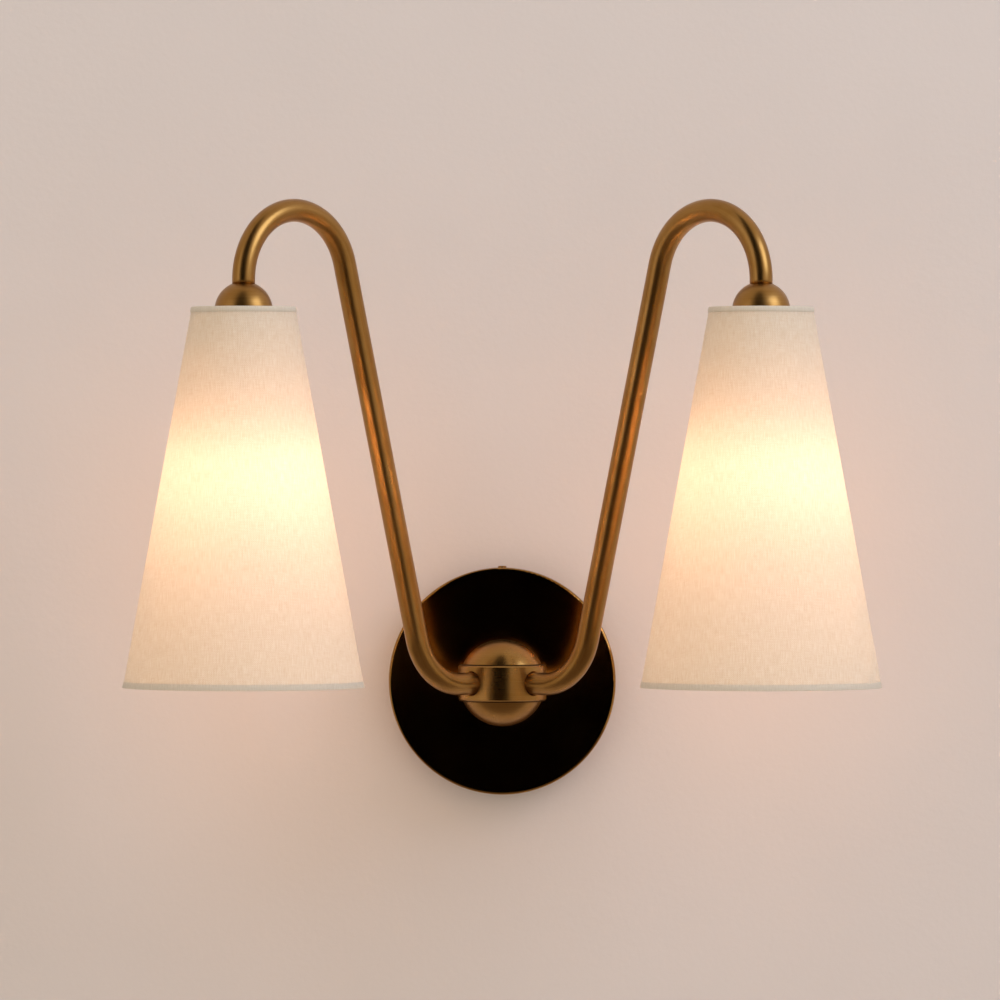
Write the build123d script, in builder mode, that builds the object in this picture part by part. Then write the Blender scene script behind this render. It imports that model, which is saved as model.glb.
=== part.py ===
from build123d import *
import os
from math import atan2, cos, degrees, radians, sin, sqrt, tan

# Double arm wall sconce, in millimetres.
# The origin is the centre of the canopy on the wall, +Z is up and the wall is the plane y = 0.
# The sconce stands out from the wall towards -Y.

# ---- Driving dimensions: wall side ------------------------------------------------------
canopy_d = 130.0            # round backplate
canopy_depth = 20.0
canopy_wall = 1.5
canopy_edge_r = 1.3         # rounding of the front edge
strap_w = 20.0              # bent wall strap behind the canopy
strap_t = 2.0
strap_ear_depth = 14.0      # how far the upper ear stands out from the wall
strap_bend_r = 2.0          # bends, at the middle of the sheet
box_screw_close = 69.85     # the two screw spacings of a wall box
box_screw_wide = 88.9
box_screw_slot_w = 4.6
tongue_offset = 5.0         # the lower tongue's back face, from the wall
tongue_h = 9.0
tongue_rim_gap = 2.5        # end of the tongue to the inside of the canopy's rim
lug_w = 12.0                # lug inside the canopy that hooks behind the tongue
lug_t = 1.5
lug_reach = 6.5
set_screw_d = 5.0           # screw at twelve o'clock that holds the canopy to the ear
set_screw_proud = 0.9
set_screw_slot_w = 1.0
set_screw_slot_depth = 0.8
set_screw_chamfer = 0.4
set_screw_depth = 8.0       # from the wall
boss_w = 10.0               # threaded boss for the set screw
boss_h = 4.0
ground_screw_d = 4.8
ground_head_d = 8.0
ground_head_h = 2.4         # the screw sits in the middle of the strap

# ---- Driving dimensions: hub ------------------------------------------------------------
hub_d = 50.0
hub_band_h = 20.6
hub_chamfer = 1.0
hub_cavity_d = 34.0
hub_gap = 4.0               # between the canopy and the nearest point of the hub
dome_base_d = 44.8
dome_h = 14.35
dome_wall = 1.8
dome_foot_h = 2.0           # flat foot inside the dome
dome_seam = 0.3             # small chamfer that makes the seam
spigot_h = 3.0
spigot_wall = 2.0
collar_d = 19.0             # spacer between canopy and hub
socket_sink_w = 0.75        # countersink round each arm, measured across
nipple_d = 10.0             # threaded tube, hub to canopy and arm to lampholder
nipple_bore_d = 7.2
nipple_hub_reach = 1.0      # past the inner end of its hole in the hub
nipple_tail = 2.0           # past its nut in the canopy
washer_d = 20.0
washer_t = 1.5
nut_across_flats = 14.0
nut_h = 4.0

# ---- Driving dimensions: arms -----------------------------------------------------------
arm_d = 12.7
arm_azimuth = 45.0          # degrees between each arm and the wall, seen from above
arm_stub = 9.0              # level tube between the hub and the first bend
arm_low_r = 35.0            # bend radii at the middle of the tube
arm_top_r = 39.0
arm_reach = 200.5           # hub axis to lamp axis, level
arm_rise = 264.0            # hub centre to the top of the arm's centre line
arm_drop = 2.3              # straight tube below the top bend, down to the cup
arm_inset = 7.5             # how far the tube goes into the hub

# ---- Driving dimensions: lamp -----------------------------------------------------------
cap_d = 32.0                # domed cup on top of each shade
cap_wall = 1.0
cap_skirt_h = 8.0
cap_crown_t = 1.6           # thickness of the flat under the tube
nipple_arm_reach = 3.8      # up into the tube
nipple_holder_reach = 8.5   # down into the lampholder

holder_neck_d = 13.8        # boss that meets the cup
holder_neck_h = 7.6
holder_body_d = 26.0
holder_body_h = 23.5
holder_roof_t = 1.6
holder_flange_d = 34.0
holder_flange_h = 2.0
holder_thread_d = 28.0
holder_thread_h = 28.0
holder_chamber_d = 18.0     # wiring chamber
holder_chamber_h = 12.0
holder_partition_h = 6.0
holder_mouth_d = 21.0
holder_mouth_h = 8.0

bulb_base_d = 11.9          # small screw base
bulb_base_h = 16.0
bulb_base_wall = 0.3
bulb_shoulder_d = 10.1      # insulator above the shell
bulb_shoulder_h = 1.7
bulb_tip_d = 4.0
bulb_tip_h = 1.5
bulb_d = 35.0
bulb_length = 99.7          # over all, contact to tip
bulb_glass_wall = 0.8
bulb_neck_h = 2.5           # glass inside the base
bulb_neck_wide_d = 18.6     # where the neck leaves the lampholder
bulb_neck_z = 13.5          # heights below the base's rim
bulb_widest_z = 39.5
bulb_taper_d = 23.0
bulb_taper_z = 66.5

screw_shell_wall = 0.5
screw_shell_h = 20.0
contact_post_d = 4.0        # goes through the partition
contact_w = 2.0
contact_t = 0.5
contact_reach = 4.0         # sideways, to the bend of the spring
contact_bend_drop = 1.3
contact_drop = 4.0          # partition down to the bulb's tip

shade_top_d = 57.5          # outside the edging
shade_bottom_d = 133.0
shade_h = 208.5
fitter_drop = 22.1          # shade's top edge down to its fitter plate
shade_wall = 0.8            # linen on its liner, measured level
hem_t = 0.4
hem_top_h = 3.1
hem_bottom_h = 3.4
hem_inner_h = 1.7           # how far the edging turns down inside
hem_foot_inner_h = 3.0
wire_d = 2.5                # shade wires
plate_d = 40.0              # fitter plate
plate_t = 1.5
spoke_count = 3
spoke_lap = 1.6             # how far each spoke lies on the plate
spoke_level = 3.0           # level run of each spoke past the plate
spoke_bend_r = 4.0
spoke_weld = 0.25
shade_ring_d = 40.0
shade_ring_h = 8.0
grip_count = 24
grip_r = 1.5
grip_depth = 0.8

lead_d = 2.0
lead_offset = 1.1           # each lead's centre from the middle of the tube
lead_bend_r = 12.0          # inside the hub
lead_tail_r = 5.0           # inside the canopy
lead_tail_depth = 7.5       # from the wall
connector_d = 8.8
connector_h = 20.0
connector_taper = 4.0
connector_z = 12.0

# ---- Clearances -------------------------------------------------------------------------
seat_gap = 0.05             # fixed round fits, radial
turn_gap = 0.1              # shade and ring on the lampholder, radial and level
thread_gap = 0.05           # turning threads, radial
glue_gap = 0.05             # edging and wires on the shade
strap_gap = 0.5             # canopy to strap
collar_gap = 0.5            # spacer in the flat on the hub
nipple_slack = 0.15         # threaded tube in the arm, radial

# ---- Worked out from these --------------------------------------------------------------
canopy_r = canopy_d / 2
canopy_inner_r = canopy_r - canopy_wall
boss_bottom_z = canopy_inner_r - boss_h
ear_top_z = boss_bottom_z - strap_gap
tongue_end_z = -(canopy_inner_r - tongue_rim_gap)
step_z = tongue_end_z + tongue_h
slot_spacing = (box_screw_close + box_screw_wide) / 2
slot_length = (box_screw_wide - box_screw_close) / 2 + box_screw_slot_w

hub_r = hub_d / 2
hub_y = -(canopy_depth + hub_gap + hub_r)
hub_top = hub_band_h / 2
spigot_r = hub_cavity_d / 2 - seat_gap
spot_face_r = collar_d / 2 + collar_gap
spot_face_y = hub_y + sqrt(hub_r**2 - spot_face_r**2)
dome_sphere_r = ((dome_base_d / 2) ** 2 + dome_h**2) / (2 * dome_h)
dome_inner_r = dome_sphere_r - dome_wall
dome_centre = dome_h - dome_sphere_r
foot_r = sqrt(dome_inner_r**2 - (dome_foot_h - dome_centre) ** 2)
seam_r = sqrt(dome_sphere_r**2 - (dome_seam - dome_centre) ** 2)

nipple_r = nipple_d / 2
nipple_bore_r = nipple_bore_d / 2
washer_y = canopy_depth - canopy_wall
nut_y = washer_y - washer_t - nut_h

arm_r = arm_d / 2
arm_bore_r = nipple_r + nipple_slack
arm_start = hub_r - arm_inset
# Centres of the two bends in the arm's own plane; the long straight is tangent to both.
low_centre = (hub_r + arm_stub, arm_low_r)
top_centre = (arm_reach - arm_top_r, arm_rise - arm_top_r)
centres_x, centres_z = top_centre[0] - low_centre[0], top_centre[1] - low_centre[1]
bends_r = arm_low_r + arm_top_r
straight = sqrt(centres_x**2 + centres_z**2 - bends_r**2)
arm_lean = degrees(atan2(centres_x, centres_z) - atan2(bends_r, straight))
arm_end_z = arm_rise - arm_top_r - arm_drop

# Level direction of the right arm: to the side and away from the wall.
arm_aside, arm_forward = cos(radians(arm_azimuth)), sin(radians(arm_azimuth))
lamp_x = arm_reach * arm_aside
lamp_y = hub_y - arm_reach * arm_forward
cap_r = cap_d / 2
cap_inner_r = cap_r - cap_wall
cap_centre_z = arm_end_z - sqrt(cap_r**2 - arm_r**2)
cap_bottom_z = cap_centre_z - cap_skirt_h
crown_z = arm_end_z - cap_crown_t
crown_r = sqrt(cap_inner_r**2 - (crown_z - cap_centre_z) ** 2)

thread_r = holder_thread_d / 2
holder_body_z = crown_z - holder_neck_h
flange_top_z = holder_body_z - holder_body_h
flange_z = flange_top_z - holder_flange_h
holder_end_z = flange_z - holder_thread_h
mouth_top_z = holder_end_z + holder_mouth_h
chamber_top_z = holder_body_z - holder_roof_t
partition_top_z = chamber_top_z - holder_chamber_h
shell_top_z = partition_top_z - holder_partition_h
nipple_bottom_z = crown_z - nipple_holder_reach

bulb_base_r = bulb_base_d / 2
shell_inner_r = bulb_base_r + thread_gap
shell_bore_r = shell_inner_r + screw_shell_wall + seat_gap
contact_z = shell_top_z - contact_drop
base_top_z = contact_z - bulb_tip_h - bulb_shoulder_h
base_rim_z = base_top_z - bulb_base_h
bulb_tip_z = contact_z - bulb_length
neck_r = bulb_base_r - bulb_base_wall - seat_gap
neck_top_z = base_rim_z + bulb_neck_h

plate_top_z = flange_z - turn_gap
plate_z = plate_top_z - plate_t
plate_bore_r = thread_r + turn_gap
ring_top_z = plate_z - turn_gap
shade_top_z = plate_top_z + fitter_drop
shade_bottom_z = shade_top_z - shade_h
shade_slope = (shade_bottom_d - shade_top_d) / 2 / shade_h
# The linen's outer face lies inside the edging; the wires lie inside the linen.
linen_inset = hem_t + glue_gap
linen_top_z = shade_top_z - linen_inset
linen_bottom_z = shade_bottom_z + linen_inset
wire_r = wire_d / 2
wire_inset = linen_inset + shade_wall + glue_gap + wire_r
top_wire_z = linen_top_z - wire_r
bottom_wire_z = linen_bottom_z + wire_r
spoke_z = plate_top_z + wire_r - spoke_weld
hem_w = wire_inset + wire_r + glue_gap + hem_t

sides = (("left", -1), ("right", 1))


def save(piece, name):
    """Label a finished piece and write it."""
    piece.part.label = name
    export_step(piece.part, f"parts/{name}.step")


def upright_plane(x, y, azimuth):
    """Upright plane through (x, y): its own x runs level along the azimuth, its own y is up."""
    level = (cos(radians(azimuth)), sin(radians(azimuth)), 0)
    return Plane(origin=(x, y, 0), x_dir=level, z_dir=(level[1], -level[0], 0))


def face_of(plane, *points):
    """Closed face with straight sides."""
    with BuildSketch(plane) as face:
        with BuildLine():
            Polyline(*points, close=True)
        make_face()
    return face.sketch


def hem_r(z):
    """Outside radius of the shade's edging at a height; the linen follows the same cone."""
    return shade_top_d / 2 + (shade_top_z - z) * shade_slope


def arm_path(plane, end_z, offset=0.0):
    """Centre line of an arm, or a line beside it, from inside the hub to the lamp."""
    with BuildLine(plane) as path:
        low = CenterArc(low_centre, arm_low_r - offset, -90, 90 - arm_lean)
        top = CenterArc(top_centre, arm_top_r + offset, 180 - arm_lean, arm_lean - 180)
        Line((arm_start, offset), low @ 0)
        Line(low @ 1, top @ 0)
        Line(top @ 1, (arm_reach + offset, end_z))
    return path


os.makedirs("parts", exist_ok=True)

# ---- Canopy and what fixes it to the wall -----------------------------------------------
# On Plane.XZ a sketch's own x and y are the model's X and Z, and it is extruded away from the wall.
with BuildPart() as wall_bracket:
    with BuildSketch(Plane.YZ.offset(-strap_w / 2)):
        with BuildLine() as strap_line:
            FilletPolyline(
                (-strap_ear_depth, ear_top_z - strap_t / 2),
                (-strap_t / 2, ear_top_z - strap_t / 2),
                (-strap_t / 2, step_z),
                (-tongue_offset - strap_t / 2, step_z - strap_t / 2),
                (-tongue_offset - strap_t / 2, tongue_end_z),
                radius=(strap_bend_r, strap_bend_r / 2, strap_bend_r / 2),
            )
        trace(line_width=strap_t)
    extrude(amount=strap_w)
    with BuildSketch(Plane.XZ):
        with GridLocations(0, slot_spacing, 1, 2):
            SlotOverall(slot_length, box_screw_slot_w, rotation=90)
        Circle(ground_screw_d / 2 + seat_gap)
    extrude(amount=strap_t, mode=Mode.SUBTRACT)
    with BuildSketch(Plane.XY.offset(ear_top_z)):
        with Locations((0, -set_screw_depth)):
            Circle(set_screw_d / 2 + thread_gap)
    extrude(amount=-strap_t, mode=Mode.SUBTRACT)
save(wall_bracket, "wall_bracket")

with BuildPart() as ground_screw:
    with BuildSketch(Plane.XZ):
        Circle(ground_screw_d / 2)
    extrude(amount=strap_t)
    with BuildSketch(Plane.XZ.offset(strap_t)):
        RegularPolygon(ground_head_d / 2, 6)
    extrude(amount=ground_head_h)
save(ground_screw, "ground_screw")

with BuildPart() as canopy:
    with BuildSketch(Plane.XZ):
        Circle(canopy_r)
    extrude(amount=canopy_depth)
    fillet(canopy.faces().sort_by(Axis.Y)[0].edges(), canopy_edge_r)
    with BuildSketch(Plane.XZ):
        Circle(canopy_inner_r)
    extrude(amount=canopy_depth - canopy_wall, mode=Mode.SUBTRACT)
    with BuildSketch(Plane.XY.offset(boss_bottom_z)):
        with Locations((0, -set_screw_depth)):
            Rectangle(boss_w, boss_w)
    extrude(amount=boss_h + canopy_wall / 2)
    with BuildSketch(Plane.XZ.offset(tongue_offset - strap_gap - lug_t)):
        with Locations((0, -canopy_inner_r - canopy_wall / 2)):
            Rectangle(lug_w, lug_reach + canopy_wall / 2, align=(Align.CENTER, Align.MIN))
    extrude(amount=lug_t)
    with BuildSketch(Plane.XY.offset(boss_bottom_z)):
        with Locations((0, -set_screw_depth)):
            Circle(set_screw_d / 2 + thread_gap)
    extrude(amount=boss_h + 2 * canopy_wall, mode=Mode.SUBTRACT)
    with BuildSketch(Plane.XZ):
        Circle(nipple_r + seat_gap)
    extrude(amount=canopy_depth, mode=Mode.SUBTRACT)
save(canopy, "canopy")

with BuildPart() as canopy_set_screw:
    with BuildSketch(Plane.XY.offset(ear_top_z - strap_t)):
        with Locations((0, -set_screw_depth)):
            Circle(set_screw_d / 2)
    extrude(amount=canopy_r + set_screw_proud - ear_top_z + strap_t)
    chamfer(canopy_set_screw.edges().filter_by(GeomType.CIRCLE), set_screw_chamfer)
    with BuildSketch(Plane.XY.offset(canopy_r + set_screw_proud - set_screw_slot_depth)):
        with Locations((0, -set_screw_depth)):
            Rectangle(set_screw_d, set_screw_slot_w)
    extrude(amount=set_screw_slot_depth, mode=Mode.SUBTRACT)
save(canopy_set_screw, "canopy_set_screw")

# ---- Hub and what clamps it to the canopy -----------------------------------------------
hub_centre = Axis((0, hub_y, 0), (0, 0, 1))

with BuildPart() as hub_body:
    with BuildSketch(Plane.XY.offset(-hub_top)):
        with Locations((0, hub_y)):
            Circle(hub_r)
    extrude(amount=hub_band_h)
    chamfer(hub_body.edges().filter_by(GeomType.CIRCLE), hub_chamfer)
    with BuildSketch(Plane.XY.offset(-hub_top)):
        with Locations((0, hub_y)):
            Circle(hub_cavity_d / 2)
    extrude(amount=hub_band_h, mode=Mode.SUBTRACT)
    with BuildSketch(Plane.XZ.offset(-spot_face_y)):
        Circle(spot_face_r)
    extrude(amount=spot_face_y, mode=Mode.SUBTRACT)
    with BuildSketch(Plane.XZ):
        Circle(nipple_r + seat_gap)
    extrude(amount=-hub_y, mode=Mode.SUBTRACT)
    for side, sign in sides:
        arm_level = Plane(origin=(0, hub_y, 0), z_dir=(sign * arm_aside, -arm_forward, 0))
        with BuildSketch(arm_level):
            Circle(arm_r + seat_gap)
        extrude(amount=hub_d, mode=Mode.SUBTRACT)
        # A 45 degree cone, wider than the arm by the sink's width where it meets the hub's side.
        with BuildSketch(arm_level.offset(hub_r - 2 * socket_sink_w)):
            Circle(arm_r - socket_sink_w)
        extrude(amount=4 * socket_sink_w, taper=-45, mode=Mode.SUBTRACT)
save(hub_body, "hub_body")

for name, up in (("hub_cap_top", 1), ("hub_cap_bottom", -1)):
    dome_plane = Plane(origin=(0, hub_y, up * hub_top), x_dir=(up, 0, 0), z_dir=(0, -1, 0))
    with BuildPart() as hub_cap:
        with BuildSketch(dome_plane):
            with BuildLine():
                crown = Line((0, dome_h - dome_wall), (0, dome_h))
                outside = RadiusArc(crown @ 1, (seam_r, dome_seam), dome_sphere_r)
                foot = Polyline(
                    outside @ 1,
                    (dome_base_d / 2 - dome_seam, 0),
                    (spigot_r, 0),
                    (spigot_r, -spigot_h),
                    (spigot_r - spigot_wall, -spigot_h),
                    (spigot_r - spigot_wall, dome_foot_h),
                    (foot_r, dome_foot_h),
                )
                RadiusArc(foot @ 1, crown @ 0, -dome_inner_r)
            make_face()
        revolve(axis=hub_centre)
    save(hub_cap, name)

with BuildPart() as hub_collar:
    with BuildSketch(Plane.XZ.offset(canopy_depth)):
        Circle(collar_d / 2)
        Circle(nipple_r + seat_gap, mode=Mode.SUBTRACT)
    extrude(amount=-spot_face_y - canopy_depth)
save(hub_collar, "hub_collar")

with BuildPart() as nipple_washer:
    with BuildSketch(Plane.XZ.offset(washer_y - washer_t)):
        Circle(washer_d / 2)
        Circle(nipple_r + seat_gap, mode=Mode.SUBTRACT)
    extrude(amount=washer_t)
save(nipple_washer, "nipple_washer")

with BuildPart() as nipple_nut:
    with BuildSketch(Plane.XZ.offset(nut_y)):
        RegularPolygon(nut_across_flats / 2, 6, major_radius=False)
        Circle(nipple_r + seat_gap, mode=Mode.SUBTRACT)
    extrude(amount=nut_h)
save(nipple_nut, "nipple_nut")

with BuildPart() as hub_nipple:
    with BuildSketch(Plane.XZ.offset(nut_y - nipple_tail)):
        Circle(nipple_r)
        Circle(nipple_bore_r, mode=Mode.SUBTRACT)
    extrude(amount=-hub_y - hub_cavity_d / 2 + nipple_hub_reach - nut_y + nipple_tail)
save(hub_nipple, "hub_nipple")

# ---- Arms, lampholders, bulbs and shades, once for each side ----------------------------
for side, sign in sides:
    azimuth = -90 + sign * (90 - arm_azimuth)
    arm_plane = upright_plane(0, hub_y, azimuth)
    section = upright_plane(sign * lamp_x, lamp_y, 0)
    lamp_axis = Axis((sign * lamp_x, lamp_y, 0), (0, 0, 1))

    run = arm_path(arm_plane, arm_end_z)
    with BuildPart() as arm:
        with BuildSketch(Plane(origin=run.line @ 0, z_dir=run.line % 0)):
            Circle(arm_r)
            Circle(arm_bore_r, mode=Mode.SUBTRACT)
        sweep(path=run.line)
    save(arm, f"arm_{side}")

    with BuildPart() as socket_cap:
        with BuildSketch(section):
            with BuildLine():
                top = Line((nipple_r + seat_gap, arm_end_z), (arm_r, arm_end_z))
                dome = RadiusArc(top @ 1, (cap_r, cap_centre_z), cap_r)
                skirt = Polyline(
                    dome @ 1,
                    (cap_r, cap_bottom_z),
                    (cap_inner_r, cap_bottom_z),
                    (cap_inner_r, cap_centre_z),
                )
                inside = RadiusArc(skirt @ 1, (crown_r, crown_z), -cap_inner_r)
                Polyline(inside @ 1, (nipple_r + seat_gap, crown_z), top @ 0)
            make_face()
        revolve(axis=lamp_axis)
    save(socket_cap, f"socket_cap_{side}")

    with BuildPart() as holder_nipple:
        with BuildSketch(section):
            with Locations(((nipple_r + nipple_bore_r) / 2, nipple_bottom_z)):
                Rectangle(
                    nipple_r - nipple_bore_r,
                    arm_end_z + nipple_arm_reach - nipple_bottom_z,
                    align=(Align.CENTER, Align.MIN),
                )
        revolve(axis=lamp_axis)
    save(holder_nipple, f"holder_nipple_{side}")

    with BuildPart() as lampholder:
        revolve(
            face_of(
                section,
                (nipple_r + seat_gap, crown_z),
                (holder_neck_d / 2, crown_z),
                (holder_neck_d / 2, holder_body_z),
                (holder_body_d / 2, holder_body_z),
                (holder_body_d / 2, flange_top_z),
                (holder_flange_d / 2, flange_top_z),
                (holder_flange_d / 2, flange_z),
                (thread_r, flange_z),
                (thread_r, holder_end_z),
                (holder_mouth_d / 2, holder_end_z),
                (holder_mouth_d / 2, mouth_top_z),
                (shell_bore_r, mouth_top_z),
                (shell_bore_r, shell_top_z),
                (contact_post_d / 2 + seat_gap, shell_top_z),
                (contact_post_d / 2 + seat_gap, partition_top_z),
                (holder_chamber_d / 2, partition_top_z),
                (holder_chamber_d / 2, chamber_top_z),
                (nipple_r + seat_gap, chamber_top_z),
            ),
            axis=lamp_axis,
        )
    save(lampholder, f"lampholder_{side}")

    with BuildPart() as screw_shell:
        with BuildSketch(section):
            with Locations((shell_inner_r, shell_top_z)):
                Rectangle(screw_shell_wall, screw_shell_h, align=(Align.MIN, Align.MAX))
        revolve(axis=lamp_axis)
    save(screw_shell, f"screw_shell_{side}")

    with BuildPart() as centre_contact:
        with BuildSketch(section):
            with Locations((0, partition_top_z)):
                Rectangle(contact_post_d / 2, holder_partition_h, align=(Align.MIN, Align.MAX))
        revolve(axis=lamp_axis)
        with BuildSketch(section.offset(-contact_w / 2)):
            with BuildLine():
                FilletPolyline(
                    (0, shell_top_z),
                    (contact_reach, shell_top_z - contact_bend_drop),
                    (-contact_t, contact_z + contact_t / 2),
                    radius=contact_t,
                )
            trace(line_width=contact_t)
        extrude(amount=contact_w)
    save(centre_contact, f"centre_contact_{side}")

    with BuildPart() as bulb_base:
        revolve(
            face_of(
                section,
                (bulb_base_r - bulb_base_wall, base_rim_z),
                (bulb_base_r, base_rim_z),
                (bulb_base_r, base_top_z),
                (0, base_top_z),
                (0, base_top_z - bulb_base_wall),
                (bulb_base_r - bulb_base_wall, base_top_z - bulb_base_wall),
            ),
            axis=lamp_axis,
        )
    save(bulb_base, f"bulb_base_{side}")

    with BuildPart() as bulb_contact:
        revolve(
            face_of(
                section,
                (0, base_top_z),
                (bulb_shoulder_d / 2, base_top_z),
                (bulb_tip_d / 2, base_top_z + bulb_shoulder_h),
                (bulb_tip_d / 2, contact_z - bulb_tip_h / 2),
                (bulb_tip_d / 4, contact_z),
                (0, contact_z),
            ),
            axis=lamp_axis,
        )
    save(bulb_contact, f"bulb_contact_{side}")

    with BuildPart() as bulb_glass:
        for inset, mode in ((0.0, Mode.ADD), (bulb_glass_wall, Mode.SUBTRACT)):
            with BuildSketch(section):
                with BuildLine():
                    neck = Line((neck_r - inset, neck_top_z), (neck_r - inset, base_rim_z))
                    bowl = Spline(
                        neck @ 1,
                        (bulb_neck_wide_d / 2 - inset, base_rim_z - bulb_neck_z),
                        (bulb_d / 2 - inset, base_rim_z - bulb_widest_z),
                        (bulb_taper_d / 2 - inset, base_rim_z - bulb_taper_z),
                        (0, bulb_tip_z + inset),
                        tangents=((0, -1), (-1, 0)),
                    )
                    Polyline(bowl @ 1, (0, neck_top_z), neck @ 0)
                make_face()
            revolve(axis=lamp_axis, mode=mode)
    save(bulb_glass, f"bulb_glass_{side}")

    with BuildPart() as shade_ring:
        with BuildSketch(Plane.XY.offset(ring_top_z - shade_ring_h)):
            with Locations((sign * lamp_x, lamp_y)):
                Circle(shade_ring_d / 2)
                with PolarLocations(shade_ring_d / 2 + grip_r - grip_depth, grip_count):
                    Circle(grip_r, mode=Mode.SUBTRACT)
                Circle(plate_bore_r, mode=Mode.SUBTRACT)
        extrude(amount=shade_ring_h)
    save(shade_ring, f"shade_ring_{side}")

    top_wire_ring_r = hem_r(top_wire_z) - wire_inset
    with BuildPart() as shade_frame:
        with BuildSketch(section):
            with Locations((plate_bore_r, plate_z)):
                Rectangle(plate_d / 2 - plate_bore_r, plate_t, align=Align.MIN)
            with Locations((top_wire_ring_r, top_wire_z)):
                Circle(wire_r)
        revolve(axis=lamp_axis)
        for spoke in range(spoke_count):
            spoke_plane = upright_plane(sign * lamp_x, lamp_y, 90 + spoke * 360 / spoke_count)
            with BuildLine(spoke_plane) as spoke_line:
                FilletPolyline(
                    (plate_d / 2 - spoke_lap, spoke_z),
                    (plate_d / 2 + spoke_level, spoke_z),
                    (top_wire_ring_r, top_wire_z),
                    radius=spoke_bend_r,
                )
            with BuildSketch(Plane(origin=spoke_line.line @ 0, z_dir=spoke_line.line % 0)):
                Circle(wire_r)
            sweep(path=spoke_line.line)
    save(shade_frame, f"shade_frame_{side}")

    with BuildPart() as shade_bottom_wire:
        with BuildSketch(section):
            with Locations((hem_r(bottom_wire_z) - wire_inset, bottom_wire_z)):
                Circle(wire_r)
        revolve(axis=lamp_axis)
    save(shade_bottom_wire, f"shade_bottom_wire_{side}")

    with BuildPart() as shade:
        revolve(
            face_of(
                section,
                (hem_r(linen_top_z) - linen_inset, linen_top_z),
                (hem_r(linen_bottom_z) - linen_inset, linen_bottom_z),
                (hem_r(linen_bottom_z) - linen_inset - shade_wall, linen_bottom_z),
                (hem_r(linen_top_z) - linen_inset - shade_wall, linen_top_z),
            ),
            axis=lamp_axis,
        )
    save(shade, f"shade_{side}")

    for name, edge_z, inward, outer_h, inner_h in (
        ("shade_hem_top", shade_top_z, -1, hem_top_h, hem_inner_h),
        ("shade_hem_bottom", shade_bottom_z, 1, hem_bottom_h, hem_foot_inner_h),
    ):
        outer_z = edge_z + inward * outer_h
        inner_z = edge_z + inward * inner_h
        fold_z = edge_z + inward * hem_t
        with BuildPart() as hem:
            revolve(
                face_of(
                    section,
                    (hem_r(edge_z), edge_z),
                    (hem_r(outer_z), outer_z),
                    (hem_r(outer_z) - hem_t, outer_z),
                    (hem_r(fold_z) - hem_t, fold_z),
                    (hem_r(fold_z) - hem_w + hem_t, fold_z),
                    (hem_r(inner_z) - hem_w + hem_t, inner_z),
                    (hem_r(inner_z) - hem_w, inner_z),
                    (hem_r(edge_z) - hem_w, edge_z),
                ),
                axis=lamp_axis,
            )
        save(hem, f"{name}_{side}")

    # Two leads in each arm, one above the other in its level stub.
    with BuildPart() as leads:
        lead_x = sign * lead_offset
        tail_end = nut_y + nut_h
        for up in (1, -1):
            offset = up * lead_offset
            with BuildLine(upright_plane(lead_x, 0, -90)) as tail:
                FilletPolyline(
                    (lead_tail_depth, up * connector_z),
                    (lead_tail_depth, offset),
                    (tail_end, offset),
                    radius=lead_tail_r,
                )
            with BuildLine(Plane.XY.offset(offset)) as turn:
                FilletPolyline(
                    (lead_x, -tail_end),
                    (lead_x, hub_y - lead_offset * tan(radians(arm_azimuth))),
                    (sign * arm_start * arm_aside, hub_y - arm_start * arm_forward),
                    radius=lead_bend_r,
                )
            lead_run = arm_path(arm_plane, partition_top_z, offset)
            route = Wire(tail.edges() + turn.edges() + lead_run.edges())
            with BuildSketch(Plane(origin=route @ 0, z_dir=route % 0)):
                Circle(lead_d / 2)
            sweep(path=route)
    save(leads, f"leads_{side}")

with BuildPart() as wire_connectors:
    for up in (1, -1):
        mouth = Plane(origin=(0, -lead_tail_depth, up * connector_z), z_dir=(0, 0, up))
        with BuildSketch(mouth):
            Circle(connector_d / 2)
        extrude(amount=connector_h, taper=connector_taper)
save(wire_connectors, "wire_connectors")
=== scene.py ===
from math import atan, atan2, cos, degrees, pi, radians, sin, sqrt

import bmesh
import bpy
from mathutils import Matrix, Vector
from mathutils.geometry import interpolate_bezier


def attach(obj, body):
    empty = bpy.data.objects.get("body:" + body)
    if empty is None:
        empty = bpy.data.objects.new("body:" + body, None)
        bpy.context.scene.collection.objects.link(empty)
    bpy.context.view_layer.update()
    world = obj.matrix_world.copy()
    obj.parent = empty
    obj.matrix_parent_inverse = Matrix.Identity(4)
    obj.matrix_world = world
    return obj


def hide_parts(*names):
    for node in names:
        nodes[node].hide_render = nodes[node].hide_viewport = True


# Double arm wall sconce. The frame is in metres: the origin is the middle of the canopy on the wall,
# +Z is up and +Y goes into the wall. Sizes below are in millimetres unless a comment says metres.
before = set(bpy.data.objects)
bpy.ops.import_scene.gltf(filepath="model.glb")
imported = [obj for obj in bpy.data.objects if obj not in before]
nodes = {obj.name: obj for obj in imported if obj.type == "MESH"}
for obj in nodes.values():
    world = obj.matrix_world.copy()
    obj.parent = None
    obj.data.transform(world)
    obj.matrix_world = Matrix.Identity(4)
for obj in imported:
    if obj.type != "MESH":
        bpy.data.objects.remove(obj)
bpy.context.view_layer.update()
MM = 0.001
sides = (("left", -1), ("right", 1))

# ---- Sizes, the same as the model's ------------------------------------------------------
hub_y, hub_r, hub_band_h = -49.0, 25.0, 20.6

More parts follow.
